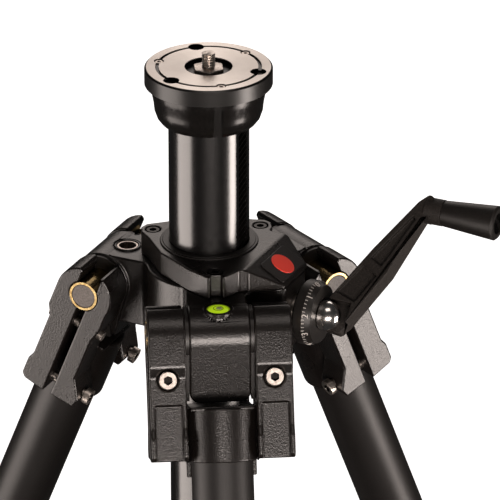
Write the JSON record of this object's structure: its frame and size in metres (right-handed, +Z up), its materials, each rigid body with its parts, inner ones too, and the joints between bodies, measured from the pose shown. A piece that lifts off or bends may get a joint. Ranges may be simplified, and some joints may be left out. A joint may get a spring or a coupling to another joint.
{
  "type": "geared column tripod",
  "caption": "Heavy-duty tripod with a crank-geared centre column, flat head plate with stud, three hinged telescopic legs and rubber feet.",
  "frame": {"origin": "centre of the head plate's face, on the column axis", "axes": "+Z up along the column; one leg towards -Y; crank at azimuth -30 degrees"},
  "size_m": [0.5812, 0.5078, 0.7938],
  "materials": {
    "plate": "fine turned",
    "zinc": "zinc plated",
    "blackened_steel": "blackened",
    "anodised": "black gloss anodised",
    "satin_black": "satin black",
    "gear_steel": "machined",
    "casting": "textured powder coat",
    "bush_plastic": "satin",
    "pin_cap": "powder coated",
    "brass": "turned",
    "level_rim": "clear moulded",
    "level_fluid": "clear",
    "badge_black": "satin label",
    "badge_red": "gloss label",
    "ring_plastic": "moulded",
    "chrome": "bright chrome",
    "arm_black": "matt black",
    "knob_plastic": "moulded",
    "lever_plastic": "moulded",
    "rubber": "moulded"
  },
  "bodies": {
    "root": {"spider": "casting", "spider_cap": "casting", "cap_screws": "zinc", "column_guide": "bush_plastic", "hinge_pins": "pin_cap", "hinge_bushes": "brass", "level_cup": "level_rim", "level_vial": "level_fluid", "accessory_insert": "zinc", "badge": "badge_black", "badge_disc": "badge_red", "crank_bearing": "zinc"},
    "column": {"top_disc": "plate", "mounting_stud": "zinc", "disc_screws": "zinc", "set_screws": "blackened_steel", "column_collar": "satin_black", "column_tube": "anodised", "gear_rack": "gear_steel", "column_end_cap": "satin_black"},
    "lift_gear": {"lift_gear": "gear_steel"},
    "crank": {"crank_shaft": "gear_steel", "crank_hub": "chrome", "crank_arm": "arm_black", "knob_spindle": "gear_steel"},
    "knob": {"crank_knob": "knob_plastic"},
    "friction_ring": {"friction_ring": "ring_plastic"},
    "leg_1": {"yoke_outer_1": "casting", "yoke_inner_1": "casting", "yoke_screws_1": "zinc", "upper_tube_1": "anodised", "upper_clamp_1": "casting"},
    "upper_lever_1": {"upper_lever_1": "lever_plastic"},
    "middle_1": {"middle_tube_1": "anodised", "lower_clamp_1": "casting"},
    "lower_lever_1": {"lower_lever_1": "lever_plastic"},
    "lower_1": {"lower_tube_1": "anodised", "foot_1": "rubber"},
    "leg_2": {"yoke_outer_2": "casting", "yoke_inner_2": "casting", "yoke_screws_2": "zinc", "upper_tube_2": "anodised", "upper_clamp_2": "casting"},
    "upper_lever_2": {"upper_lever_2": "lever_plastic"},
    "middle_2": {"middle_tube_2": "anodised", "lower_clamp_2": "casting"},
    "lower_lever_2": {"lower_lever_2": "lever_plastic"},
    "lower_2": {"lower_tube_2": "anodised", "foot_2": "rubber"},
    "leg_3": {"yoke_outer_3": "casting", "yoke_inner_3": "casting", "yoke_screws_3": "zinc", "upper_tube_3": "anodised", "upper_clamp_3": "casting"},
    "upper_lever_3": {"upper_lever_3": "lever_plastic"},
    "middle_3": {"middle_tube_3": "anodised", "lower_clamp_3": "casting"},
    "lower_lever_3": {"lower_lever_3": "lever_plastic"},
    "lower_3": {"lower_tube_3": "anodised", "foot_3": "rubber"}
  },
  "joints": [
    {"name": "column_lift", "type": "slide", "parent": "root", "child": "column", "axis": [0, 0, 1], "range_m": [-0.054, 0.2]},
    {"name": "gear_turn", "type": "hinge", "parent": "root", "child": "lift_gear", "pos_m": [0.02122, -0.01225, -0.103], "axis": [0.5, 0.866, 0], "continuous": true},
    {"name": "crank_turn", "type": "hinge", "parent": "root", "child": "crank", "pos_m": [0.0433, -0.025, -0.116], "axis": [0.866, -0.5, 0], "continuous": true},
    {"name": "knob_spin", "type": "hinge", "parent": "crank", "child": "knob", "pos_m": [0.12041, -0.02145, -0.07261], "axis": [0.866, -0.5, 0], "continuous": true},
    {"name": "friction_ring_turn", "type": "hinge", "parent": "root", "child": "friction_ring", "pos_m": [0.04503, -0.026, -0.116], "axis": [0.866, -0.5, 0], "range_deg": [-135, 135]},
    {"name": "leg_spread_1", "type": "hinge", "parent": "root", "child": "leg_1", "pos_m": [0, -0.05, -0.114], "axis": [-1, 0, 0], "range_deg": [-22, 38]},
    {"name": "upper_lever_1", "type": "hinge", "parent": "leg_1", "child": "upper_lever_1", "pos_m": [0, -0.27837, -0.61277], "axis": [-1, 0, 0], "range_deg": [0, 110]},
    {"name": "middle_slide_1", "type": "slide", "parent": "leg_1", "child": "middle_1", "axis": [0, -0.3746, -0.9272], "range_m": [0, 0.42]},
    {"name": "lower_lever_1", "type": "hinge", "parent": "middle_1", "child": "lower_lever_1", "pos_m": [0, -0.30873, -0.69326], "axis": [-1, 0, 0], "range_deg": [0, 110]},
    {"name": "lower_slide_1", "type": "slide", "parent": "middle_1", "child": "lower_1", "axis": [0, -0.3746, -0.9272], "range_m": [0, 0.42]},
    {"name": "leg_spread_2", "type": "hinge", "parent": "root", "child": "leg_2", "pos_m": [0.0433, 0.025, -0.114], "axis": [0.5, -0.866, 0], "range_deg": [-22, 38]},
    {"name": "upper_lever_2", "type": "hinge", "parent": "leg_2", "child": "upper_lever_2", "pos_m": [0.24108, 0.13919, -0.61277], "axis": [0.5, -0.866, 0], "range_deg": [0, 110]},
    {"name": "middle_slide_2", "type": "slide", "parent": "leg_2", "child": "middle_2", "axis": [0.3244, 0.1873, -0.9272], "range_m": [0, 0.42]},
    {"name": "lower_lever_2", "type": "hinge", "parent": "middle_2", "child": "lower_lever_2", "pos_m": [0.26737, 0.15437, -0.69326], "axis": [0.5, -0.866, 0], "range_deg": [0, 110]},
    {"name": "lower_slide_2", "type": "slide", "parent": "middle_2", "child": "lower_2", "axis": [0.3244, 0.1873, -0.9272], "range_m": [0, 0.42]},
    {"name": "leg_spread_3", "type": "hinge", "parent": "root", "child": "leg_3", "pos_m": [-0.0433, 0.025, -0.114], "axis": [0.5, 0.866, 0], "range_deg": [-22, 38]},
    {"name": "upper_lever_3", "type": "hinge", "parent": "leg_3", "child": "upper_lever_3", "pos_m": [-0.24108, 0.13919, -0.61277], "axis": [0.5, 0.866, 0], "range_deg": [0, 110]},
    {"name": "middle_slide_3", "type": "slide", "parent": "leg_3", "child": "middle_3", "axis": [-0.3244, 0.1873, -0.9272], "range_m": [0, 0.42]},
    {"name": "lower_lever_3", "type": "hinge", "parent": "middle_3", "child": "lower_lever_3", "pos_m": [-0.26737, 0.15437, -0.69326], "axis": [0.5, 0.866, 0], "range_deg": [0, 110]},
    {"name": "lower_slide_3", "type": "slide", "parent": "middle_3", "child": "lower_3", "axis": [-0.3244, 0.1873, -0.9272], "range_m": [0, 0.42]}
  ],
  "couplings": [
    {"joint": "gear_turn", "follows": "column_lift", "rad_per_m": 125},
    {"joint": "crank_turn", "follows": "column_lift", "rad_per_m": 666.67}
  ]
}
